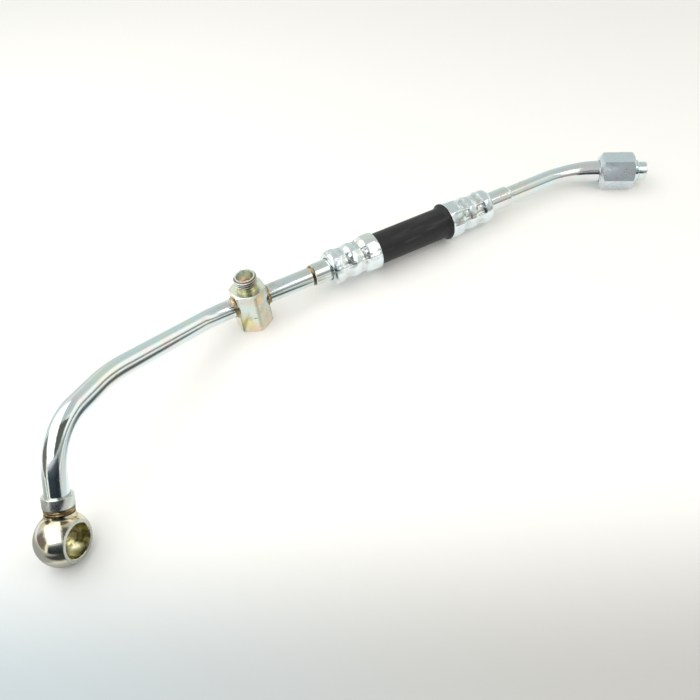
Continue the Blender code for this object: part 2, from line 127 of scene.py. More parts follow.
def onePoint(name, along, radius):
    deselectAll()
    bpy.ops.mesh.primitive_plane_add(size=1)
    piece = bpy.context.object
    piece.name = name
    openMesh(piece)
    bpy.ops.mesh.merge(type="CENTER")
    bpy.ops.transform.translate(value=(radius, 0, along))
    return piece


def drawSection(section):
    # section: (distance along the axis, radius) pairs, drawn on from the selected point
    for (oldAlong, oldRadius), (along, radius) in zip(section[:-1], section[1:]):
        bpy.ops.mesh.extrude_vertices_move(
            TRANSFORM_OT_translate={"value": (radius - oldRadius, 0, along - oldAlong)})


def spunPiece(name, section, steps=96):
    piece = onePoint(name, *section[0])
    drawSection(section)
    bpy.ops.mesh.select_all(action="SELECT")
    bpy.ops.mesh.spin(steps=steps, angle=2 * math.pi, center=(0, 0, 0), axis=(0, 0, 1))
    closeMesh()
    weld(piece)
    return piece


def spunRing(name, section, steps=96):
    return spunPiece(name, [*section, section[0]], steps)


def cut(piece, section, steps=96, place=Matrix()):
    # takes a spun form out of a piece
    tool = spunPiece("cutter", section, steps)
    tool.data.transform(place)
    combine(piece, tool, "DIFFERENCE")


def hexBar(name, acrossFlats, low, high, turn):
    deselectAll()
    bpy.ops.mesh.primitive_cylinder_add(vertices=6, radius=acrossFlats / math.sqrt(3),
                                        depth=high - low, location=(0, 0, (high + low) / 2),
                                        rotation=(0, 0, turn))
    bar = bpy.context.object
    bar.name = name
    bpy.ops.object.transform_apply(location=True, rotation=True, scale=True)
    return bar


def threadRidge(name, root, crest, pitch, turns, start):
    # one closed tooth section swept up a helix, fading into the core at both ends
    steps = int(48 * turns)
    base = pitch * 0.42
    tip = pitch * 0.08
    sunk = 0.12
    section = [(-base, root), (-tip, crest), (tip, crest), (base, root), (-base, root)]
    ridge = onePoint(name, *section[0])
    drawSection(section)
    closeMesh()
    weld(ridge)
    applyModifier(ridge, "SCREW", angle=2 * math.pi * turns, screw_offset=pitch * turns,
                  steps=steps, render_steps=steps, iterations=1, axis="Z",
                  use_merge_vertices=False)
    openMesh(ridge)
    bpy.ops.mesh.select_all(action="DESELECT")
    bpy.ops.mesh.select_non_manifold()
    bpy.ops.mesh.fill_holes(sides=6)
    bpy.ops.mesh.select_all(action="SELECT")
    bpy.ops.mesh.normals_make_consistent(inside=False)
    closeMesh()
    for vert in ridge.data.vertices:
        radius = math.hypot(vert.co.x, vert.co.y)
        turned = vert.co.z / pitch
        fade = min(1.0, max(0.0, turned * 3 + 0.3), max(0.0, (turns - turned) * 3 + 0.3))
        wanted = root + (radius - root) * fade - sunk * (1 - fade)
        vert.co.x *= wanted / radius
        vert.co.y *= wanted / radius
        vert.co.z += start
    return ridge


def roundedRoute(corners, radii, step=math.radians(2.5)):
    # straight legs joined by bends that are tangent to both legs
    points = [corners[0].copy()]
    for i in range(1, len(corners) - 1):
        back = (corners[i - 1] - corners[i]).normalized()
        ahead = (corners[i + 1] - corners[i]).normalized()
        opening = back.angle(ahead)
        radius = radii[i - 1]
        reach = radius / math.tan(opening / 2)
        centre = corners[i] + (back + ahead).normalized() * radius / math.sin(opening / 2)
        start = corners[i] + back * reach - centre
        turn = math.pi - opening
        hinge = start.cross(corners[i] + ahead * reach - centre).normalized()
        count = max(4, round(turn / step))
        for k in range(count + 1):
            points.append(centre + Matrix.Rotation(turn * k / count, 3, hinge) @ start)
    points.append(corners[-1].copy())
    return points


def tubePiece(name, points, radii, wall):
    # a path with a round bevel, made a mesh and given its wall
    deselectAll()
    bpy.ops.curve.primitive_nurbs_path_add()
    piece = bpy.context.object
    piece.data.splines.clear()
    path = piece.data.splines.new("POLY")
    path.points.add(len(points) - 1)
    for spot, point, radius in zip(path.points, points, radii):
        spot.co = (*point, 1)
        spot.radius = radius
    piece.data.bevel_depth = 1
    piece.data.bevel_resolution = 22
    bpy.ops.object.convert(target="MESH")
    piece = bpy.context.object
    piece.name = name
    weld(piece, 0.001)
    applyModifier(piece, "SOLIDIFY", thickness=wall, offset=-1)
    smooth(piece, 40)
    return piece


def dress(piece, material, slot, node, place=Matrix(), body="line"):
    piece.data.transform(place)
    piece.data.transform(Matrix.Scale(mm, 4))
    piece.data.materials.clear()
    piece.data.materials.append(material)
    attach(piece, body)
    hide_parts(node)
    print("made", piece.name, len(piece.data.polygons), "faces")
    return piece


# layout of the whole feed line, shared by its pieces

tube = {"radius": 5.0, "wall": 1.0}
banjo = {"ball": 11.4, "halfWidth": 7.5, "bore": 7.0, "chamfer": 0.35, "x": -25.3, "y": -145.5,
         "neck": 6.2, "fillet": 3.0, "neckTop": 11.54, "socketFloor": 8.04, "passage": 3.5,
         "brazeTop": 13.74, "collarTop": 19.04, "collar": 6.4}
tee = {"flats": 17.0, "height": 23.5, "chamfer": 0.9, "tubeHeight": 14.3, "socketFloor": 5.5,
       "faceTurn": math.radians(-120),
       "dimple": 1.0, "dimpleDepth": 0.5, "dimpleHeight": 9.5, "dimpleAside": 3.2}
port = {"radius": 6.0, "height": 7.5, "undercut": 5.1, "undercutHeight": 2.3, "root": 5.1,
        "pitch": 1.25, "turns": 3.4, "runout": 0.7,
        "mouth": 4.4, "seat": 3.2, "coneDepth": 5.6, "bore": 2.2}
run = {"heading": math.radians(45.64), "length": 212.0, "leftStem": 36.5, "leftSleeve": 9.5,
       "rightSleeve": 15.0, "ferrule": 29.0, "hose": 46.8, "outletHeading": math.radians(9.1),
       "outletRadius": 50.0, "swell": 6.3, "swellLength": 26.0}
nut = {"flats": 19.0, "length": 20.0, "fromBend": 18.6, "chamfer": 1.2, "backChamfer": 2.6,
       "backWall": 3.6, "bore": 7.35, "hole": 6.6}

socketRadius = tube["radius"] + gap
snug = tube["radius"] - 0.03
boreRadius = tube["radius"] - tube["wall"]
teeCentre = Vector((0, 0, tee["tubeHeight"]))
outletCorner = Vector((math.cos(run["heading"]), math.sin(run["heading"]), 0)) * run["length"]
outletCorner.z = nut["flats"] / 2
lineWay = (outletCorner - teeCentre).normalized()
faceAngle = run["heading"] + tee["faceTurn"]
rightFaceAngle = faceAngle + math.radians(60)
nutWay = Vector((math.cos(run["outletHeading"]), math.sin(run["outletHeading"]), 0))
eyeCentre = Vector((banjo["x"], banjo["y"], banjo["ball"]))
firstBend = Vector((-30.0, -122.0, 49.4))
secondBend = Vector((-30.5, -80.7, 38.7))
neckWay = (firstBend - eyeCentre).normalized()
eyeWay = Vector((neckWay.z, 0, -neckWay.x)).normalized()
leftFerrule = run["leftStem"] + run["leftSleeve"]
rightFerrule = leftFerrule + run["ferrule"] * 2 + run["hose"]
rightStemEnd = rightFerrule + run["rightSleeve"]
shoulderBack = nut["fromBend"] + nut["backWall"] + gap


def onLine(distance):
    return teeCentre + lineWay * distance


class Wires:
    # a short hand for adding and joining nodes in one tree
    def __init__(self, tree):
        self.tree = tree

    def add(self, kind, **settings):
        node = self.tree.nodes.new(kind)
        for name, value in settings.items():
            setattr(node, name, value)
        return node

    def feed(self, socket, value):
        if isinstance(value, bpy.types.NodeSocket):
            self.tree.links.new(value, socket)
        elif value is not None:
            socket.default_value = value

    def math(self, operation, a, b=None):
        node = self.add("ShaderNodeMath", operation=operation)
        for socket, value in zip(node.inputs, (a, b)):
            self.feed(socket, value)
        return node.outputs[0]

    def both(self, *masks):
        # where all the masks hold, each of them a socket or a plain strength
        held = masks[0]
        for mask in masks[1:]:
            held = self.math("MULTIPLY", held, mask)
        return held

    def ramp(self, value, low, high, outLow=0.0, outHigh=1.0):
        node = self.add("ShaderNodeMapRange", interpolation_type="SMOOTHSTEP")
        for name, given in (("Value", value), ("From Min", low), ("From Max", high),
                            ("To Min", outLow), ("To Max", outHigh)):
            self.feed(node.inputs[name], given)
        return node.outputs["Result"]

    def band(self, value, low, lowSoft, high, highSoft):
        return self.both(self.ramp(value, low - lowSoft, low + lowSoft),
                         self.ramp(value, high - highSoft, high + highSoft, 1.0, 0.0))

    def mix(self, factor, a, b, blend="MIX"):
        node = self.add("ShaderNodeMix", data_type="RGBA", blend_type=blend)
        self.feed(node.inputs["Factor"], factor)
        for socket, value in ((node.inputs[6], a), (node.inputs[7], b)):
            self.feed(socket, (*value, 1) if isinstance(value, tuple) else value)
        return node.outputs[2]

    def vector(self, operation, a, b=None, scale=None, result="Vector"):
        node = self.add("ShaderNodeVectorMath", operation=operation)
        self.feed(node.inputs[0], a)
        if b is not None:
            self.feed(node.inputs[1], b if isinstance(b, bpy.types.NodeSocket) else tuple(b))
        if scale is not None:
            self.feed(node.inputs["Scale"], scale)
        return node.outputs[result]

    def dot(self, vector, axis):
        return self.vector("DOT_PRODUCT", vector, axis, result="Value")

    def noise(self, place, scale, detail=2.0, roughness=0.5):
        node = self.add("ShaderNodeTexNoise")
        for name, value in (("Vector", place), ("Scale", scale), ("Detail", detail),
                            ("Roughness", roughness)):
            self.feed(node.inputs[name], value)
        return node.outputs["Fac"]

    def stretched(self, place, turn, scale):
        # the pattern's own axes: turned onto the piece, then drawn out along one of them
        node = self.add("ShaderNodeMapping", vector_type="TEXTURE")
        self.feed(node.inputs["Vector"], place)
        node.inputs["Rotation"].default_value = turn
        node.inputs["Scale"].default_value = scale
        return node.outputs[0]

    def group(self, tree, **given):
        node = self.add("ShaderNodeGroup", node_tree=tree)
        for name, value in given.items():
            self.feed(node.inputs[name], value)
        return node

    def axisPlaces(self, place, origin, way):
        # how far along an axis a point lies, and how far from it, in metres
        offset = self.vector("SUBTRACT", place, origin)
        along = self.dot(offset, way)
        foot = self.vector("SCALE", tuple(way), scale=along)
        return along, self.vector("LENGTH", self.vector("SUBTRACT", offset, foot), result="Value")

    def near(self, place, spot, inner, outer):
        far = self.vector("LENGTH", self.vector("SUBTRACT", place, spot), result="Value")
        return self.ramp(far, inner, outer, 1.0, 0.0)


def newGroup(name, inputs, outputs):
    tree = bpy.data.node_groups.new(name, "ShaderNodeTree")
    for label, kind, value in inputs:
        socket = tree.interface.new_socket(name=label, in_out="INPUT", socket_type=kind)
        if value is not None:
            socket.default_value = value
    for label, kind in outputs:
        tree.interface.new_socket(name=label, in_out="OUTPUT", socket_type=kind)
    wires = Wires(tree)
    return wires, wires.add("NodeGroupInput").outputs, wires.add("NodeGroupOutput").inputs


# thin zinc film: cool and warm clouds, with a little pink between them
filmWires, given, wanted = newGroup("platingFilm", (
    ("Place", "NodeSocketVector", None), ("Scale", "NodeSocketFloat", 60.0),
    ("Strength", "NodeSocketFloat", 0.5), ("Warmth", "NodeSocketFloat", 0.5)),
    (("Tint", "NodeSocketColor"),))
cloud = filmWires.noise(given["Place"], given["Scale"], 3.0, 0.6)
cloud = filmWires.math("ADD", cloud, filmWires.math("SUBTRACT", given["Warmth"], 0.5))
film = filmWires.mix(filmWires.ramp(cloud, 0.4, 0.62), (0.82, 0.95, 1.0), (1.0, 0.95, 0.72))
blush = filmWires.noise(given["Place"], filmWires.both(given["Scale"], 1.7))
film = filmWires.mix(filmWires.ramp(blush, 0.52, 0.66), film, (1.0, 0.82, 0.84))
filmWires.feed(wanted["Tint"], filmWires.mix(given["Strength"], (1.0, 1.0, 1.0), film))
platingFilm = filmWires.tree

# handling: smears that dull the gloss, small nicks and a fine grain under the plate
markWires, given, wanted = newGroup("handlingMarks", (
    ("Place", "NodeSocketVector", None), ("Drawn", "NodeSocketVector", None),
    ("Grain", "NodeSocketFloat", 1400.0)),
    (("Smear", "NodeSocketFloat"), ("Height", "NodeSocketFloat"), ("Nick", "NodeSocketFloat")))
smear = markWires.ramp(markWires.noise(given["Place"], 170.0, 5.0, 0.7), 0.35, 0.75)
drawn = markWires.noise(given["Drawn"], 900.0, 3.0, 0.6)
nick = markWires.ramp(markWires.noise(given["Place"], 420.0, 2.0, 0.4), 0.7, 0.78)
grain = markWires.noise(given["Place"], given["Grain"], 2.0, 0.5)
height = markWires.math("ADD", markWires.both(drawn, 0.5), markWires.both(grain, 0.35))
height = markWires.math("SUBTRACT", height, markWires.both(nick, 0.8))
markWires.feed(wanted["Smear"], smear)
markWires.feed(wanted["Height"], height)
markWires.feed(wanted["Nick"], nick)
handlingMarks = markWires.tree


class Finish:
    # one Principled material: colour layers are added, then closed with done(); its look may
    # give a film (size, strength, warmth) and handling (turn, stretch, dulling and grain)
    def __init__(self, name, look, metallic=1.0):
        self.made = bpy.data.materials.new(name)
        self.made.use_nodes = True
        self.wires = Wires(self.made.node_tree)
        self.shader = self.made.node_tree.nodes["Principled BSDF"]
        self.shader.inputs["Metallic"].default_value = metallic
        self.place = self.wires.add("ShaderNodeTexCoord").outputs["Object"]
        self.colour = look["colour"]
        self.roughness = look["roughness"]
        self.bump = look["bump"]
        self.height = None
        if "film" in look:
            self.plated(*look["film"])
        if "handled" in look:
            self.handled(*look["handled"])

    def plated(self, scale, strength, warmth):
        film = self.wires.group(platingFilm, Place=self.place, Scale=scale, Strength=strength,
                                Warmth=warmth)
        self.colour = self.wires.mix(1.0, self.colour, film.outputs["Tint"], "MULTIPLY")

    def handled(self, turn, stretch, dulling, grain=1400.0):
        drawn = self.wires.stretched(self.place, turn, stretch)
        marks = self.wires.group(handlingMarks, Place=self.place, Drawn=drawn, Grain=grain)
        self.dull(marks.outputs["Smear"], dulling)
        self.layer(self.wires.both(marks.outputs["Nick"], 0.35), (0.35, 0.33, 0.3))
        self.height = marks.outputs["Height"]

    def layer(self, mask, colour):
        self.colour = self.wires.mix(mask, self.colour, colour)

    def dull(self, mask, amount):
        self.roughness = self.wires.math("ADD", self.roughness, self.wires.both(mask, amount))

    def cloud(self, scale, low, high, detail=3.0, roughness=0.6):
        return self.wires.ramp(self.wires.noise(self.place, scale, detail, roughness), low, high)

    def patchy(self, mask, scale, low, high):
        return self.wires.both(mask, self.cloud(scale, low, high))

    def cloudAt(self, spot, inner, outer, scale, low, high):
        # a patchy cloud round one spot, its place and reach in millimetres
        near = self.wires.near(self.place, Vector(spot) * mm, inner * mm, outer * mm)
        return self.patchy(near, scale, low, high)

    def done(self):
        self.wires.feed(self.shader.inputs["Base Color"], self.colour)
        self.wires.feed(self.shader.inputs["Roughness"], self.roughness)
        if self.height is not None:
            relief = self.wires.add("ShaderNodeBump")
            relief.inputs["Strength"].default_value = self.bump
            relief.inputs["Distance"].default_value = 0.4 * mm
            self.wires.feed(relief.inputs["Height"], self.height)
            self.wires.feed(self.shader.inputs["Normal"], relief.outputs[0])
        return self.made


# finishes, each with the tints of its own place on the line; limits are in metres

heading = run["heading"]
teeSpot = teeCentre * mm
eyeSpot = eyeCentre * mm

tubeLook = {"colour": (0.8, 0.85, 0.85), "roughness": 0.09, "bump": 0.09,
            "film": (55.0, 0.45, 0.45), "handled": ((0, 0, heading), (14, 1, 1), 0.1),
            # centre, inner and outer reach, size and limits of the clouds, colour
            "warm": ((teeCentre, 11, 21, 230.0, 0.35, 0.9, (0.6, 0.5, 0.34)),
                     (onLine(run["leftStem"]), 6, 12, 300.0, 0.35, 1.0, (0.8, 0.66, 0.42)),
                     (onLine(rightStemEnd), 5, 14, 300.0, 0.4, 0.9, (0.8, 0.72, 0.55)))}
tubeFinish = Finish("tubeZinc", tubeLook)
for *cloud, colour in tubeLook["warm"]:
    tubeFinish.layer(tubeFinish.cloudAt(*cloud), colour)
tubeZinc = tubeFinish.done()

banjoLook = {"colour": (0.76, 0.76, 0.7), "roughness": 0.11, "bump": 0.1,
             "film": (80.0, 0.5, 0.55), "handled": ((0, 0, 0.4), (1, 1, 5), 0.13),
             "golden": (0.7, 0.6, 0.36), "burnt": (0.3, 0.2, 0.1), "rim": (0.6, 0.63, 0.55),
             "darkOil": (0.13, 0.13, 0.055), "paleOil": (0.7, 0.65, 0.34),
             "brownOil": (0.2, 0.17, 0.08), "collar": (0.6, 0.64, 0.65),
             # painted shade and a painted highlight in the bore: centre, reach, colour
             "boreShadeAndGlint": (((-26.2, -148.0, 5.5), 5.0, (0.1, 0.1, 0.045)),
                          ((-21.6, -146.2, 4.6), 4.2, (0.9, 0.88, 0.6)))}
banjoFinish = Finish("banjoZinc", banjoLook)
wires = banjoFinish.wires
neckAlong = wires.axisPlaces(banjoFinish.place, eyeSpot, neckWay)[0]
boreAlong, boreOff = wires.axisPlaces(banjoFinish.place, eyeSpot, eyeWay)
fromMiddle = wires.math("ABSOLUTE", boreAlong)
golden = wires.both(wires.ramp(neckAlong, 0.0062, 0.0092),
                    wires.ramp(neckAlong, 0.0136, 0.0141, 1.0, 0.0))
goldenPatch = wires.both(banjoFinish.patchy(golden, 260.0, 0.2, 0.5), 0.7)
banjoFinish.layer(goldenPatch, banjoLook["golden"])
burnt = wires.both(golden, wires.ramp(neckAlong, 0.0085, 0.0105))
banjoFinish.layer(banjoFinish.patchy(burnt, 420.0, 0.45, 0.62), banjoLook["burnt"])
rim = wires.both(wires.ramp(fromMiddle, 0.0072, 0.0074), wires.ramp(boreOff, 0.0072, 0.0074))
banjoFinish.layer(wires.both(rim, 0.85), banjoLook["rim"])
banjoFinish.dull(rim, 0.22)
inBore = wires.both(wires.ramp(boreOff, 0.0072, 0.0071), wires.ramp(fromMiddle, 0.0079, 0.0076))
oily = wires.mix(banjoFinish.cloud(210.0, 0.38, 0.62), banjoLook["darkOil"],
                 banjoLook["paleOil"])
oily = wires.mix(banjoFinish.cloud(330.0, 0.5, 0.62, 2.0, 0.5), oily, banjoLook["brownOil"])
banjoFinish.layer(inBore, oily)
# painted shade and a painted highlight: a dark spot and a pale spot in the eye's bore
for spot, reach, colour in banjoLook["boreShadeAndGlint"]:
    boreSpot = wires.near(banjoFinish.place, Vector(spot) * mm, reach * 0.3 * mm, reach * mm)
    banjoFinish.layer(wires.both(boreSpot, inBore, 0.8), colour)
banjoFinish.dull(inBore, 0.14)
onCollar = wires.ramp(neckAlong, 0.0138, 0.0141)
banjoFinish.layer(wires.both(onCollar, 0.6), banjoLook["collar"])
banjoFinish.dull(onCollar, 0.12)
banjoZinc = banjoFinish.done()

teeLook = {"colour": (0.8, 0.83, 0.76), "roughness": 0.26, "bump": 0.12,
           "film": (95.0, 0.6, 0.5), "handled": ((0, 0, 0), (1, 1, 9), 0.14),
           # right, corners and the thread's hollows (port, roots) are painted shade
           "right": (0.6, 0.6, 0.5), "corners": (0.36, 0.35, 0.28), "foot": (0.85, 0.68, 0.5),
           "port": (0.42, 0.38, 0.16), "rootShade": (0.16, 0.11, 0.12), "mouth": (0.8, 0.5, 0.32),
           # heat spots: centre, reach, colour, strength
           "spots": (((-0.8, -8.9, 6.5), 7.5, (0.88, 0.79, 0.36), 0.9),
                     ((3.6, -7.8, 2.5), 4.5, (0.9, 0.7, 0.5), 0.8),
                     ((2.6, -8.0, 9.4), 2.2, (0.5, 0.5, 0.3), 0.7),
                     ((7.6, -4.4, 19.5), 5.0, (0.95, 0.72, 0.42), 0.95),
                     ((7.6, -4.2, 12.5), 3.5, (0.6, 0.58, 0.34), 0.8),
                     ((8.4, -1.5, 7.5), 4.0, (0.72, 0.55, 0.42), 0.7),
                     ((9.0, 1.5, 17.0), 5.0, (0.72, 0.82, 0.86), 0.8))}
teeFinish = Finish("teeZinc", teeLook)
wires = teeFinish.wires
portAlong, portOff = wires.axisPlaces(teeFinish.place, (0, 0, 0), up)
rightWay = Vector((math.cos(rightFaceAngle), math.sin(rightFaceAngle), 0))
# painted shade: the right face of the hexagon is tinted darker
shadedRightFace = wires.ramp(wires.dot(teeFinish.place, rightWay), 0.0082, 0.0084)
teeFinish.layer(wires.both(shadedRightFace, 0.7), teeLook["right"])
for spot, reach, colour, strength in teeLook["spots"]:
    mask = teeFinish.cloudAt(spot, reach * 0.2, reach, 220.0, 0.15, 0.5)
    teeFinish.layer(wires.both(mask, strength), colour)
# painted shade: a dark line along each corner of the hexagon
cornerShade = wires.ramp(portOff, 0.0092, 0.0096)
teeFinish.layer(wires.both(cornerShade, 0.55), teeLook["corners"])
foot = wires.ramp(portAlong, 0.001, 0.006, 1.0, 0.0)
teeFinish.layer(teeFinish.patchy(foot, 240.0, 0.4, 0.62), teeLook["foot"])
# painted shade in the port's hollows: olive over the undercut and thread roots, nearly black
# between the thread's turns
belowThread = wires.both(wires.ramp(portOff, 0.00595, 0.0055),
                         wires.band(portAlong, 0.02375, 0.0001, 0.0307, 0.0001),
                         wires.ramp(portOff, 0.0047, 0.0049))
teeFinish.layer(wires.both(belowThread, 0.75), teeLook["port"])
rootShade = wires.both(belowThread, wires.ramp(portAlong, 0.0258, 0.0262), 0.85)
teeFinish.layer(rootShade, teeLook["rootShade"])
deep = wires.both(wires.ramp(portOff, 0.0036, 0.0032), wires.ramp(portAlong, 0.02, 0.022))
teeFinish.layer(wires.both(deep, 0.8), teeLook["mouth"])
teeZinc = teeFinish.done()

ferruleLook = {"colour": (0.86, 0.9, 0.91), "roughness": 0.14, "bump": 0.1,
               "film": (70.0, 0.35, 0.4), "handled": ((0, 0, heading), (1, 4, 4), 0.14),
               # pressed: painted shade for the crimp hollows
               "pressed": (0.56, 0.55, 0.48)}
ferruleFinish = Finish("ferruleZinc", ferruleLook)
wires = ferruleFinish.wires
lineOff = wires.axisPlaces(ferruleFinish.place, teeSpot, lineWay)[1]
# painted shade: a patchy darker tone where the ferrule is squeezed in
pressed = wires.ramp(lineOff, 0.0089, 0.0093, 1.0, 0.0)
pressed = wires.both(ferruleFinish.patchy(pressed, 260.0, 0.3, 0.6), 0.45)
ferruleFinish.layer(pressed, ferruleLook["pressed"])
ferruleZinc = ferruleFinish.done()

nutLook = {"colour": (0.76, 0.79, 0.81), "roughness": 0.26, "bump": 0.22,
           "film": (90.0, 0.4, 0.3),
           "handled": ((0, 0, run["outletHeading"]), (3, 1, 1), 0.12, 1100.0)}
nutZinc = Finish("nutZinc", nutLook).done()

brownLook = {"colour": (0.25, 0.18, 0.1), "roughness": 0.3, "bump": 0.2,
             "handled": ((0, 0, 0), (1, 1, 1), 0.2),
             "bright": (0.58, 0.47, 0.26), "soot": (0.12, 0.1, 0.07)}
brownFinish = Finish("brownBraze", brownLook)
brownFinish.layer(brownFinish.cloud(380.0, 0.45, 0.6, 3.0, 0.5), brownLook["bright"])
brownFinish.layer(brownFinish.cloud(240.0, 0.55, 0.7, 4.0, 0.5), brownLook["soot"])
brownBraze = brownFinish.done()

rubberLook = {"colour": (0.016, 0.017, 0.017), "roughness": 0.46, "bump": 0.22, "shine": 0.3,
              "dust": (0.1, 0.1, 0.095)}
rubberFinish = Finish("hoseRubber", rubberLook, metallic=0.0)
rubberFinish.shader.inputs["Specular IOR Level"].default_value = rubberLook["shine"]
wires = rubberFinish.wires
rolled = wires.stretched(rubberFinish.place, (0, 0, heading), (8, 1, 1))
dust = wires.ramp(wires.noise(rolled, 420.0, 4.0, 0.6), 0.5, 0.75)
rubberFinish.layer(wires.both(dust, 0.35), rubberLook["dust"])
rubberFinish.dull(dust, 0.2)
wrapping = wires.both(wires.noise(rolled, 1500.0, 3.0), 0.6)
rubberFinish.height = wires.math("ADD", wrapping, wires.noise(rubberFinish.place, 1900.0))
hoseRubber = rubberFinish.done()
print("finishes made")


# banjo eye: ball and neck are one spun form, then the flats, the eye and the oil way are cut

ball, neck, fillet = banjo["ball"], banjo["neck"], banjo["fillet"]
filletAlong = math.sqrt((ball + fillet) ** 2 - (neck + fillet) ** 2)
meeting = math.atan2(neck + fillet, filletAlong)
eyeSection = []
for k in range(49):
    angle = math.pi - (math.pi - meeting) * k / 48
    eyeSection.append((ball * math.cos(angle), ball * math.sin(angle)))
eyeSection[0] = (-ball, 0.0)
for k in range(1, 9):
    angle = (math.pi / 2 - meeting) * (1 - k / 8)
    eyeSection.append((filletAlong - fillet * math.sin(angle),
                       neck + fillet - fillet * math.cos(angle)))
eyeSection += [(banjo["neckTop"], neck), (banjo["neckTop"], 0.0)]
banjoEye = spunPiece("banjoEye", eyeSection, 128)
for side in (1, -1):
    openMesh(banjoEye)
    bpy.ops.mesh.bisect(plane_co=(0, side * banjo["halfWidth"], 0), plane_no=(0, side, 0),
                        use_fill=True, clear_outer=True)
    closeMesh()
half, bore, chamfer = banjo["halfWidth"], banjo["bore"], banjo["chamfer"]
wallRings = 28
boreWall = [((half - chamfer) * (2 * k / wallRings - 1), bore) for k in range(wallRings + 1)]
cut(banjoEye, [(-half - 2, 0), (-half - 2, bore + chamfer), (-half, bore + chamfer), *boreWall,
               (half, bore + chamfer), (half + 2, bore + chamfer), (half + 2, 0)],
    place=Matrix.Rotation(math.pi / 2, 4, "X"))
cut(banjoEye, [(1, 0), (1, banjo["passage"]), (banjo["socketFloor"], banjo["passage"]),
               (banjo["socketFloor"], socketRadius), (banjo["neckTop"] + 2, socketRadius),
               (banjo["neckTop"] + 2, 0)], 64)
softEdges(banjoEye, 0.2, 35, 3)
smooth(banjoEye, facetAngle)
neckPlace = axisPlace(eyeCentre, neckWay, eyeWay)
dress(banjoEye, banjoZinc, "banjo_zinc", "banjo_eye", neckPlace)

low = banjo["neckTop"] + gap
high = banjo["brazeTop"]
bead = [(0, 5.75), (0.12, 6.0), (0.3, 6.12), (0.5, 6.14), (0.68, 6.0), (0.78, 5.75)]
lowBead = [(low + along, radius) for along, radius in bead]
highBead = [(high - along, radius + 0.08) for along, radius in bead[::-1]]
neckBraze = spunRing("neckBraze", [(low, snug), *lowBead, *highBead, (high, snug)], 128)
lumpy(neckBraze, 0.05, 1.6)
smooth(neckBraze, roundAngle)
dress(neckBraze, brownBraze, "braze", "banjo_braze_ring", neckPlace)

low = banjo["brazeTop"] + gap
high = banjo["collarTop"]
collar = banjo["collar"]
tubeCollar = spunRing("tubeCollar", [
    (low, snug), (low, collar), (high, collar), (high, snug)], 96)
softEdges(tubeCollar, 0.45, 30, 4)
smooth(tubeCollar, facetAngle)
dress(tubeCollar, banjoZinc, "banjo_zinc", "tube_collar", neckPlace)
print("banjo end done")


# inlet tube from the eye over its arch to the tee

inlet = {"radii": (24.0, 77.0, 34.0), "teeRun": 12.5}
inletStart = eyeCentre + neckWay * (banjo["socketFloor"] + gap)
inletEnd = onLine(-(tee["socketFloor"] + gap))
teeBend = onLine(-(tee["flats"] / 2 + inlet["teeRun"]))
inletRoute = roundedRoute([inletStart, firstBend, secondBend, teeBend, inletEnd], inlet["radii"])
inletTube = tubePiece("inletTube", inletRoute, [tube["radius"]] * len(inletRoute), tube["wall"])
dress(inletTube, tubeZinc, "tube_zinc", "inlet_tube")


# tee block: hexagon bar with its corners turned off, male port, cone mouth, cross bore

top = tee["height"] + port["height"]
corner = tee["flats"] / math.sqrt(3)
face = tee["flats"] / 2
teeBlock = hexBar("teeBlock", tee["flats"], 0, top, run["heading"])
blank = spunPiece("blank", [
    (0, 0), (0, face - 0.2), (tee["chamfer"], corner + 0.2),
    (tee["height"] - tee["chamfer"], corner + 0.2), (tee["height"], face - 0.2),
    (tee["height"], port["undercut"]), (tee["height"] + port["undercutHeight"], port["undercut"]),
    (tee["height"] + port["undercutHeight"] + 0.2, port["root"]),
    (top, port["root"]), (top, 0)], 128)
combine(teeBlock, blank, "INTERSECT")
seatAlong = top - port["coneDepth"]
slope = (port["mouth"] - port["seat"]) / port["coneDepth"]
cut(teeBlock, [(tee["tubeHeight"], 0), (tee["tubeHeight"], port["bore"]),
               (seatAlong - 1, port["bore"]), (seatAlong, port["seat"]),
               (top + 1, port["mouth"] + slope), (top + 1, 0)])
cut(teeBlock, [(-20, 0), (-20, socketRadius), (-tee["socketFloor"], socketRadius),
               (-tee["socketFloor"], boreRadius), (tee["socketFloor"], boreRadius),
               (tee["socketFloor"], socketRadius), (20, socketRadius), (20, 0)],
    place=axisPlace(teeCentre, lineWay))
faceWay = Vector((math.cos(faceAngle), math.sin(faceAngle), 0))
dimple, depth = tee["dimple"], tee["dimpleDepth"]
dimpleSpot = up * tee["dimpleHeight"] + up.cross(faceWay) * tee["dimpleAside"]
cut(teeBlock, [(face - depth, 0), (face - depth * 0.9, dimple * 0.5),
               (face - depth * 0.6, dimple * 0.8), (face, dimple), (face + 1, dimple + 0.3),
               (face + 1, 0)], 32, axisPlace(dimpleSpot, faceWay))
softEdges(teeBlock, 0.2, 24, 2)
smooth(teeBlock, facetAngle)
threadStart = tee["height"] + port["undercutHeight"] + port["runout"]
portThread = threadRidge("portThread", port["root"] - 0.05, port["radius"], port["pitch"],
                         port["turns"], threadStart)
smooth(portThread, facetAngle)
joinTo(teeBlock, portThread)
dress(teeBlock, teeZinc, "tee_zinc", "tee_block")

low = face - 0.15
for name, node, way in (("inletBraze", "tee_braze_inlet", -1), ("linkBraze", "tee_braze_link", 1)):
    bead = spunRing(name, [
        (low, snug), (low, snug + 1.15), (low + 0.4, snug + 0.75), (low + 0.8, snug + 0.42),
        (low + 1.3, snug + 0.22), (low + 1.8, snug + 0.08), (low + 1.8, snug)], 96)
    lumpy(bead, 0.06, 1.8)
    smooth(bead, roundAngle)
    dress(bead, brownBraze, "braze", node, axisPlace(teeCentre, lineWay * way))
print("tee done")


linkEnds = [onLine(tee["socketFloor"] + gap), onLine(run["leftStem"] + 5.7)]
linkTube = tubePiece("linkTube", linkEnds, [tube["radius"]] * 2, tube["wall"])
dress(linkTube, tubeZinc, "tube_zinc", "link_tube")


# hose stems: sleeve outside, ribbed tail in the hose, a braze ring where the tube goes in

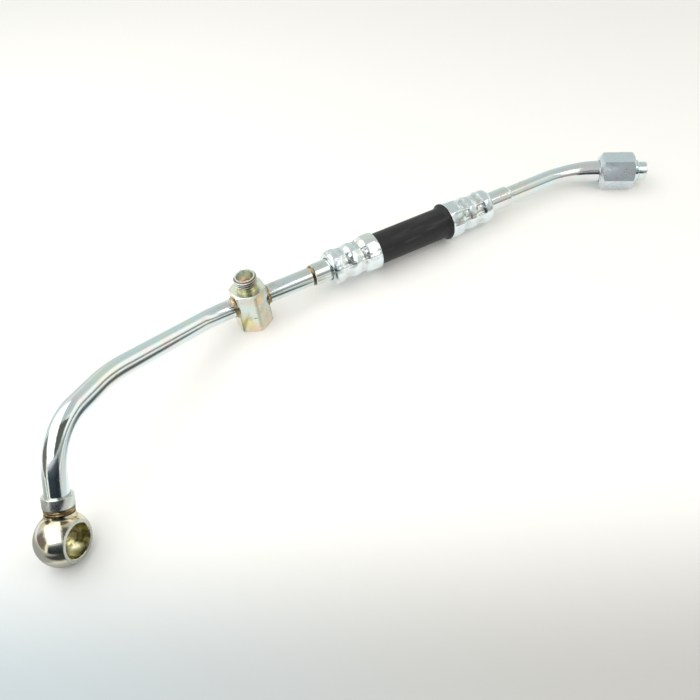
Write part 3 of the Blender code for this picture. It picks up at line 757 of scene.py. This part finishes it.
stem = {"sleeve": 6.0, "chamfer": 0.4, "socket": 6.0, "bore": 3.7, "tail": 5.2, "rib": 0.4,
        "setback": 2.0, "endWall": 1.6, "ribs": 3, "braze": 1.2}
for side, origin, way, shown, brazeLook, brazeSlot in (
        ("Left", onLine(leftFerrule), lineWay, run["leftSleeve"], brownBraze, "braze"),
        ("Right", onLine(rightFerrule), -lineWay, run["rightSleeve"], tubeZinc, "plated_braze")):
    place = axisPlace(origin, way)
    step = stem["endWall"] + gap
    end = run["ferrule"] - stem["setback"]
    pitch = (end - step) / stem["ribs"]
    section = [(-shown, socketRadius), (-shown, stem["sleeve"] - stem["chamfer"]),
               (-shown + stem["chamfer"], stem["sleeve"]), (step, stem["sleeve"])]
    for k in range(stem["ribs"]):
        section += [(step + pitch * k, stem["tail"] - stem["rib"]),
                    (step + pitch * (k + 0.75), stem["tail"])]
    section += [(end, stem["tail"] - stem["rib"]), (end, stem["bore"]),
                (-shown + stem["socket"], stem["bore"]), (-shown + stem["socket"], socketRadius)]
    sleeve = spunRing("hoseStem" + side, section)
    smooth(sleeve, 30)
    dress(sleeve, tubeZinc, "tube_zinc", "hose_stem_" + side.lower(), place)
    edge = -shown - gap
    rise = stem["sleeve"] - stem["chamfer"] - socketRadius
    bead = spunRing("stemBraze" + side, [
        (-shown, snug), (edge - stem["braze"], snug), (edge - stem["braze"] * 0.9, snug + 0.12),
        (edge - stem["braze"] * 0.4, snug + rise * 0.9), (-shown, snug + rise * 1.9)])
    lumpy(bead, 0.05, 1.5)
    smooth(bead, roundAngle)
    dress(bead, brazeLook, brazeSlot, "stem_braze_" + side.lower(), place)


# ferrules: turned caps, then squeezed by eight crimping jaws

ferrule = {"wall": 1.0, "endWall": 1.6, "endRing": 9.7, "endLength": 7.6,
           "middleRing": 9.5, "middleLength": 7.2, "firstGroove": 8.6, "secondGroove": 8.8,
           "groove": 1.2, "mouth": 10.4, "jaws": 8, "rings": 80, "flat": 0.32, "ridge": 0.5,
           "lip": 0.25, "lipFrom": 19.5, "lipTo": 28.0, "dent": 0.16, "dentSize": 0.42,
           "pressed": ((0, 8.3), (0.6, 9.2), (1.8, 9.85), (3.6, 9.95), (5.6, 9.7), (7.4, 8.75),
                       (8.8, 8.35), (10.2, 8.7), (11.8, 9.5), (13.6, 9.8), (15.6, 9.6),
                       (17.2, 8.9), (18.4, 8.6), (19.6, 9.0), (21.0, 10.05), (22.6, 10.45),
                       (27.5, 10.5), (29, 10.3))}


def ferruleOutline(shift):
    wide = ferrule["groove"]
    first = ferrule["endLength"] + wide
    second = first + wide + ferrule["middleLength"] + wide
    return [
        (ferrule["endLength"], ferrule["endRing"] + shift),
        (first - wide * 0.3, ferrule["firstGroove"] + shift),
        (first + wide * 0.3, ferrule["firstGroove"] + shift),
        (first + wide, ferrule["middleRing"] + shift),
        (second - wide, ferrule["middleRing"] + shift),
        (second - wide * 0.3, ferrule["secondGroove"] + shift),
        (second + wide * 0.3, ferrule["secondGroove"] + shift),
        (second + wide * 1.2, ferrule["mouth"] + shift),
    ]


def ferruleRadius(along):
    # the pressed profile: two rounded rings and the wide mouth, with hollows between them
    line = ferrule["pressed"]
    total = 0.0
    for shift in (-0.6, -0.3, 0.0, 0.3, 0.6):
        spot = min(max(along + shift, 0.0), run["ferrule"])
        for (a, low), (b, high) in zip(line[:-1], line[1:]):
            if a <= spot <= b:
                total += low + (high - low) * (spot - a) / (b - a)
                break
    return total / 5


def crimp(piece, phase):
    # eight jaws: flats along the rings, ridges where two jaws meet, small dents
    rings = 2 * math.pi / ferrule["jaws"]
    for vert in piece.data.vertices:
        radius = math.hypot(vert.co.x, vert.co.y)
        along = vert.co.z
        turned = ferruleRadius(along)
        if radius < turned - 0.3:
            continue
        angle = math.atan2(vert.co.y, vert.co.x) / rings + phase
        across = abs(angle - round(angle)) * 2
        inGroove = max(0.0, min(1.0, (ferrule["middleRing"] - 0.1 - turned) / 0.8))
        if along < 1.2:
            inGroove = 0.0
        inside = min(1.0, max(0.0, (along - 0.6) / 1.5), max(0.0, (run["ferrule"] - along) / 1.2))
        flat = ferrule["flat"] * (1 - across ** 2) * (1 - inGroove)
        ridge = max(0.0, (across - 0.68) / 0.32)
        lift = ferrule["ridge"] * ridge * ridge * (3 - 2 * ridge) * inGroove
        if along > ferrule["lipFrom"]:
            fade = max(0.0, min(1.0, (ferrule["lipTo"] - along) / 2))
            lift += ferrule["lip"] * ridge * fade
        dent = noise.noise(vert.co * ferrule["dentSize"] + Vector((phase * 9, 0, 0)))
        dent *= ferrule["dent"]
        wanted = radius + (lift - flat + dent - 0.04) * inside
        vert.co.x *= wanted / radius
        vert.co.y *= wanted / radius


def makeFerrule(name, place, phase, node):
    length, wall = run["ferrule"], ferrule["wall"]
    outer = [(length * k / ferrule["rings"], ferruleRadius(length * k / ferrule["rings"]))
             for k in range(ferrule["rings"] + 1)]
    section = [(0, stem["sleeve"] + gap), *outer, (length, ferrule["mouth"] - wall)]
    section += ferruleOutline(-wall)[::-1]
    section += [(ferrule["endWall"], ferrule["endRing"] - wall),
                (ferrule["endWall"], stem["sleeve"] + gap)]
    cap = spunRing(name, section, 160)
    crimp(cap, phase)
    softEdges(cap, 0.2, 50, 2)
    smooth(cap, roundAngle)
    dress(cap, ferruleZinc, "ferrule_zinc", node, place)


makeFerrule("ferruleLeft", axisPlace(onLine(leftFerrule), lineWay), 0.0, "ferrule_left")
makeFerrule("ferruleRight", axisPlace(onLine(rightFerrule), -lineWay), 0.3, "ferrule_right")


# rubber hose between the ferrules, pressed out into a lip at the right mouth

hose = {"radius": 8.8, "inner": 5.5, "bulge": 1.6, "lip": 10.4, "lipLength": 3.4}
total = rightFerrule - leftFerrule
leftEdge = run["ferrule"]
rightEdge = total - run["ferrule"] - gap
held = ferruleOutline(-ferrule["wall"] - gap)
hoseStart = ferrule["endWall"] + 2 * gap
endFill = ferrule["endRing"] - ferrule["wall"] - gap
mouthFill = ferrule["mouth"] - ferrule["wall"] - gap
hoseSection = [(hoseStart, hose["inner"]), (hoseStart, endFill), *held]
bodyStart = leftEdge + hose["bulge"]
bodyEnd = rightEdge - hose["lipLength"]
hoseSection += [(leftEdge + hose["bulge"] * 0.4, mouthFill), (bodyStart, hose["radius"])]
for k in range(1, 12):
    hoseSection.append((bodyStart + (bodyEnd - bodyStart) * k / 11, hose["radius"]))
for part, rise in ((0.7, 0.18), (0.4, 0.5), (0.15, 1.0), (0.0, 1.0)):
    hoseSection.append((rightEdge - hose["lipLength"] * part,
                        hose["radius"] + (hose["lip"] - hose["radius"]) * rise))
hoseSection.append((rightEdge, mouthFill))
hoseSection += [(total - along, radius) for along, radius in held[::-1]]
hoseSection += [(total - hoseStart, endFill), (total - hoseStart, hose["inner"])]
rubberHose = spunRing("rubberHose", hoseSection, 96)
smooth(rubberHose, roundAngle)
dress(rubberHose, hoseRubber, "hose_rubber", "rubber_hose",
      axisPlace(onLine(leftFerrule), lineWay))
print("hose done")


# outlet tube, swelled towards the nut

outletStart = onLine(rightStemEnd - 6.0 + gap)
outletEnd = outletCorner + nutWay * (shoulderBack - gap)
bent = roundedRoute([outletStart, outletCorner, outletEnd], [run["outletRadius"]],
                    math.radians(1.5))
swellEnd = outletCorner + nutWay * (nut["fromBend"] - 0.5)
outletRoute = bent[:-1] + [swellEnd, bent[-1]]
lengths = [0.0]
for a, b in zip(outletRoute[:-1], outletRoute[1:]):
    lengths.append(lengths[-1] + (b - a).length)
whole = lengths[-2]
outletRadii = []
for reach in lengths:
    t = min(1.0, max(0.0, (reach - whole + run["swellLength"]) / run["swellLength"]))
    outletRadii.append(tube["radius"] + (run["swell"] - tube["radius"]) * t * t * (3 - 2 * t))
outletTube = tubePiece("outletTube", outletRoute, outletRadii, tube["wall"])
dress(outletTube, tubeZinc, "tube_zinc", "outlet_tube")


# union nut, and the nipple it holds

nutBack = nut["fromBend"]
nutFront = nutBack + nut["length"]
corner = nut["flats"] / math.sqrt(3) + 0.2
edge = nut["flats"] / 2 - 0.4
unionNut = hexBar("unionNut", nut["flats"], nutBack, nutFront, math.radians(30))
blank = spunPiece("nutBlank", [
    (nutBack, 0), (nutBack, edge - 1.0), (nutBack + nut["backChamfer"] * 0.35, edge - 0.1),
    (nutBack + nut["backChamfer"], corner),
    (nutFront - nut["chamfer"], corner), (nutFront, edge), (nutFront, 0)], 128)
combine(unionNut, blank, "INTERSECT")
floor = nutBack + nut["backWall"]
cut(unionNut, [(nutBack - 1, 0), (nutBack - 1, nut["hole"]), (floor, nut["hole"]),
               (floor, nut["bore"]), (nutFront - 0.8, nut["bore"]),
               (nutFront + 0.2, nut["bore"] + 1), (nutFront + 1, nut["bore"] + 1),
               (nutFront + 1, 0)])
softEdges(unionNut, 0.35, 24, 3)
smooth(unionNut, facetAngle)
nutPlace = axisPlace(outletCorner, nutWay)
dress(unionNut, nutZinc, "nut_zinc", "union_nut", nutPlace, "nut")

nipple = {"shoulder": 7.05, "shoulderLength": 6.0, "ring": 6.5, "ringShown": 2.0, "groove": 5.0,
          "grooveWidth": 0.8, "tip": 5.5, "tipLength": 4.5, "taper": 0.5, "spigot": 4.0,
          "bore": 3.5}
spigot = run["swell"] - tube["wall"] - gap
shoulderFront = shoulderBack + nipple["shoulderLength"]
ringEnd = nutFront + nipple["ringShown"]
grooveEnd = ringEnd + nipple["grooveWidth"]
tipEnd = grooveEnd + nipple["tipLength"]
coneNipple = spunRing("coneNipple", [
    (shoulderBack - nipple["spigot"], nipple["bore"]), (shoulderBack - nipple["spigot"], spigot),
    (shoulderBack, spigot), (shoulderBack, nipple["shoulder"]),
    (shoulderFront, nipple["shoulder"]),
    (shoulderFront + nipple["shoulder"] - nipple["ring"], nipple["ring"]),
    (ringEnd, nipple["ring"]), (ringEnd, nipple["groove"]), (grooveEnd, nipple["groove"]),
    (grooveEnd, nipple["tip"]), (tipEnd - nipple["taper"], nipple["tip"] - 0.1),
    (tipEnd, nipple["tip"] - nipple["taper"]), (tipEnd, nipple["bore"])])
softEdges(coneNipple, 0.2, 30, 2)
smooth(coneNipple, facetAngle)
dress(coneNipple, tubeZinc, "tube_zinc", "cone_nipple", nutPlace)
print("nut end done")


# floor and room: pale paper in a light tent, open and dark towards the camera

# where the camera stands in millimetres, and which ways its picture's right and top point
view = {"place": (147.678, -256.997, 265.671), "right": (0.9596, 0.26876, -0.08327),
        "top": (-0.13643, 0.70329, 0.69769), "lens": 38.148}
cameraAngle = math.atan2(view["place"][1], view["place"][0])
towards = Vector((math.cos(cameraAngle), math.sin(cameraAngle), 0))
sideways = up.cross(towards)
standing = Matrix((sideways, up, -towards)).transposed().to_4x4()
level = Matrix((sideways, -towards, up)).transposed().to_4x4()


def fromTee(ahead, aside, height):
    # a place in the room: towards the camera, to its right and up, in millimetres
    return (towards * ahead + sideways * aside + up * height) * mm


def roomPlane(name, size, place=Matrix()):
    deselectAll()
    bpy.ops.mesh.primitive_plane_add(size=1)
    plane = bpy.context.object
    plane.name = name
    plane.data.transform(place @ Matrix.Diagonal((*size, 1, 1)))
    made = bpy.data.materials.new(name)
    made.use_nodes = True
    plane.data.materials.append(made)
    return plane, Wires(made.node_tree)


paperLook = {"size": (6, 6), "roughness": 0.7, "shine": 0.1,
             # as the camera sees it, and as it lights the part
             "lit": (0.95, 0.925, 0.9), "coolFrontShade": (0.47, 0.55, 0.6),
             "warmFrontShade": (0.53, 0.52, 0.5), "bounced": (0.8, 0.8, 0.79),
             # in mirror images
             "dark": (0.04, 0.042, 0.045), "coolGlow": (0.94, 0.99, 1.0),
             "warmGlow": (1.0, 0.97, 0.93), "seenGlow": 0.05, "mirroredGlow": 0.2}
paper = roomPlane("floorSheet", paperLook["size"])[1]
sheet = paper.tree.nodes["Principled BSDF"]
sheet.inputs["Roughness"].default_value = paperLook["roughness"]
sheet.inputs["Specular IOR Level"].default_value = paperLook["shine"]
rays = paper.add("ShaderNodeLightPath").outputs
spot = paper.add("ShaderNodeTexCoord").outputs["Object"]
ahead = paper.dot(spot, towards)
aside = paper.dot(spot, sideways)
# painted dark reflections, for glossy rays only: where mirror images show the paper dark, in
# metres ahead and aside: before the eye's ball, before the inlet and link tubes, before the hose,
# painted shade under the eye, and left of it
beforeEye = paper.both(paper.band(ahead, 0.14, 0.006, 0.6, 0.2),
                       paper.band(aside, -0.16, 0.02, -0.05, 0.01))
beforeTubes = paper.both(
    paper.ramp(paper.dot(spot, towards * 0.963 + sideways * 0.271), 0.01, 0.022),
    paper.ramp(paper.dot(spot, towards * 0.77 + sideways * 0.64), 0.014, 0.036),
    paper.band(aside, -0.045, 0.01, 0.05, 0.012), paper.ramp(ahead, 0.07, 0.1, 0.94, 0.3))
beforeHose = paper.both(paper.ramp(ahead, 0.01, 0.04, 0.0, 0.5),
                        paper.band(aside, 0.05, 0.012, 0.12, 0.03))
shadeUnderEye = paper.near(spot, (banjo["x"] * mm, banjo["y"] * mm, 0), 0.012, 0.036)
leftOfEye = paper.both(paper.band(ahead, 0.07, 0.03, 0.4, 0.1),
                       paper.band(aside, -0.4, 0.1, -0.108, 0.006))
dark = beforeEye
for zone in (beforeTubes, beforeHose, paper.both(shadeUnderEye, 0.6), paper.both(leftOfEye, 0.68)):
    dark = paper.math("MAXIMUM", dark, zone)
dark = paper.both(dark, rays["Is Glossy Ray"])
# painted shade: as the camera sees it, the paper greys towards the camera, cool on the left and
# warm on the right
front = paper.ramp(paper.math("SUBTRACT", ahead, paper.both(aside, 0.25)), 0.105, 0.2)
frontShadeTone = paper.mix(paper.ramp(aside, -0.22, 0.1), paperLook["coolFrontShade"],
                      paperLook["warmFrontShade"])
sheetTone = paper.mix(front, paperLook["lit"], frontShadeTone)
sheetTone = paper.mix(rays["Is Camera Ray"], paperLook["bounced"], sheetTone)
paper.feed(sheet.inputs["Base Color"], paper.mix(dark, sheetTone, paperLook["dark"]))
glow = paper.math("ADD", paper.both(rays["Is Camera Ray"], paperLook["seenGlow"]),
                  paper.both(rays["Is Glossy Ray"], paperLook["mirroredGlow"]))
glow = paper.both(glow, paper.math("SUBTRACT", 1.0, dark))
tone = paper.mix(paper.ramp(aside, -0.2, 0.25), paperLook["coolGlow"], paperLook["warmGlow"])
paper.feed(sheet.inputs["Emission Color"], tone)
paper.feed(sheet.inputs["Emission Strength"], glow)


def glowCard(name, middle, place, size):
    # a card that only mirror images and the light itself show
    card, wires = roomPlane(name, size, Matrix.Translation(middle) @ place)
    wires.tree.nodes.clear()
    return card, wires, wires.add("ShaderNodeEmission"), wires.add("ShaderNodeOutputMaterial")


def standCard(name, ahead, left, right, low, high, colours):
    # an upright card in front of the part; colours: three heights, each with its colour
    wires, light, out = glowCard(name, fromTee(ahead, (left + right) / 2, (low + high) / 2),
                                 standing, ((right - left) * mm, (high - low) * mm))[1:]
    height = wires.dot(wires.add("ShaderNodeTexCoord").outputs["Object"], up)
    shade = colours[0][1]
    for lower, upper in zip(colours[:-1], colours[1:]):
        shade = wires.mix(wires.ramp(height, lower[0] * mm, upper[0] * mm), shade, upper[1])
    wires.feed(light.inputs["Color"], shade)
    either = wires.add("ShaderNodeMixShader")
    for socket, value in zip(either.inputs, (
            wires.add("ShaderNodeLightPath").outputs["Is Camera Ray"], light.outputs[0],
            wires.add("ShaderNodeBsdfTransparent").outputs[0])):
        wires.feed(socket, value)
    wires.feed(out.inputs["Surface"], either.outputs[0])


def hangCard(name, back, front, left, right, height, colour):
    # a level card above the part that lights nothing
    card, wires, light, out = glowCard(
        name, fromTee((front + back) / 2, (left + right) / 2, height), level,
        ((right - left) * mm, (front - back) * mm))
    light.inputs["Color"].default_value = (*colour, 1)
    wires.feed(out.inputs["Surface"], light.outputs[0])
    card.visible_camera = card.visible_diffuse = card.visible_shadow = False


standCard("frontOpening", 413, -450, 250, 0, 285,
          ((60, (0.024, 0.032, 0.04)), (185, (0.08, 0.1, 0.11)), (255, (0.62, 0.68, 0.7))))
standCard("openingTop", 420, 30, 240, 280, 420,
          ((280, (0.12, 0.12, 0.14)), (330, (0.12, 0.12, 0.15)), (420, (0.14, 0.14, 0.17))))
standCard("openingEdge", 430, 250, 900, 40, 275,
          ((40, (0.46, 0.43, 0.38)), (130, (0.34, 0.31, 0.28)), (275, (0.6, 0.57, 0.53))))
hangCard("cameraShade", 90, 230, -60, 100, 150, (0.12, 0.115, 0.095))


def ceilingLamp(name, back, front, left, right, height, strength, colour, mirrored=True):
    lamp = bpy.data.lights.new(name, "AREA")
    lamp.shape = "RECTANGLE"
    lamp.size = (right - left) * mm
    lamp.size_y = (front - back) * mm
    lamp.color = colour
    lamp.energy = strength * math.pi * lamp.size * lamp.size_y
    panel = bpy.data.objects.new(name, lamp)
    bpy.context.scene.collection.objects.link(panel)
    middle = fromTee((front + back) / 2, (left + right) / 2, height)
    panel.matrix_world = Matrix.Translation(middle) @ level
    panel.visible_camera = False
    panel.visible_glossy = mirrored


ceilingLamp("leftPanel", -420, 640, -690, 0, 500, 1.35, (1.0, 0.99, 0.97))
ceilingLamp("rightPanel", 100, 560, 280, 600, 500, 1.35, (1.0, 0.97, 0.97))
ceilingLamp("fillPanel", 150, 800, 100, 800, 500, 1.0, (1.0, 0.98, 0.96), mirrored=False)

room = bpy.data.worlds.new("room")
bpy.context.scene.world = room
room.use_nodes = True
sky = Wires(room.node_tree)
way = sky.add("ShaderNodeTexCoord").outputs["Generated"]
around = sky.math("DEGREES", sky.math("ARCTAN2", sky.dot(way, sideways), sky.dot(way, towards)))
above = sky.math("DEGREES", sky.math("ARCSINE", sky.dot(way, up)))
wall = sky.mix(sky.ramp(above, 24, 48), (0.66, 0.75, 0.72), (0.61, 0.63, 0.61))
# patches of the tent, in degrees round from the camera and above the floor: each is low,
# its softness, high, its softness, and then comes the colour
for turned, raised, colour in (
        ((64, 4, 98, 6), (38, 3, 53, 3), (0.95, 0.9, 0.82)),
        ((52, 3, 112, 3), (-6, 3, 9, 3), (0.3, 0.27, 0.22)),
        ((70, 4, 128, 10), (13, 5, 34, 5), (1.2, 1.16, 1.1)),
        ((-400, 1, -115, 7), (15, 10, 200, 1), (0.9, 0.92, 0.9)),
        ((-112, 6, -62, 3), (-40, 5, 44, 6), (0.2, 0.17, 0.15)),
        ((-61, 2, -52, 2), (-40, 5, 44, 6), (1.2, 1.12, 0.95))):
    wall = sky.mix(sky.both(sky.band(around, *turned), sky.band(above, *raised)), wall, colour)
seen = sky.mix(sky.add("ShaderNodeLightPath").outputs["Is Camera Ray"], wall, (1.0, 1.0, 1.0))
ground = room.node_tree.nodes["Background"].inputs
sky.feed(ground["Color"], seen)
ground["Strength"].default_value = 1.0

right = Vector(view["right"]).normalized()
back = right.cross(Vector(view["top"])).normalized()
top = back.cross(right)
lens = bpy.data.cameras.new("photoCamera")
lens.lens = view["lens"]
lens.sensor_width = 36
lens.clip_start = 10 * mm
photoCamera = bpy.data.objects.new("photoCamera", lens)
bpy.context.scene.collection.objects.link(photoCamera)
turned = Matrix((right, top, back)).transposed().to_4x4()
turned.translation = Vector(view["place"]) * mm
photoCamera.matrix_world = turned
bpy.context.scene.camera = photoCamera
bpy.context.scene.view_settings.view_transform = "Standard"

print("scene ready")
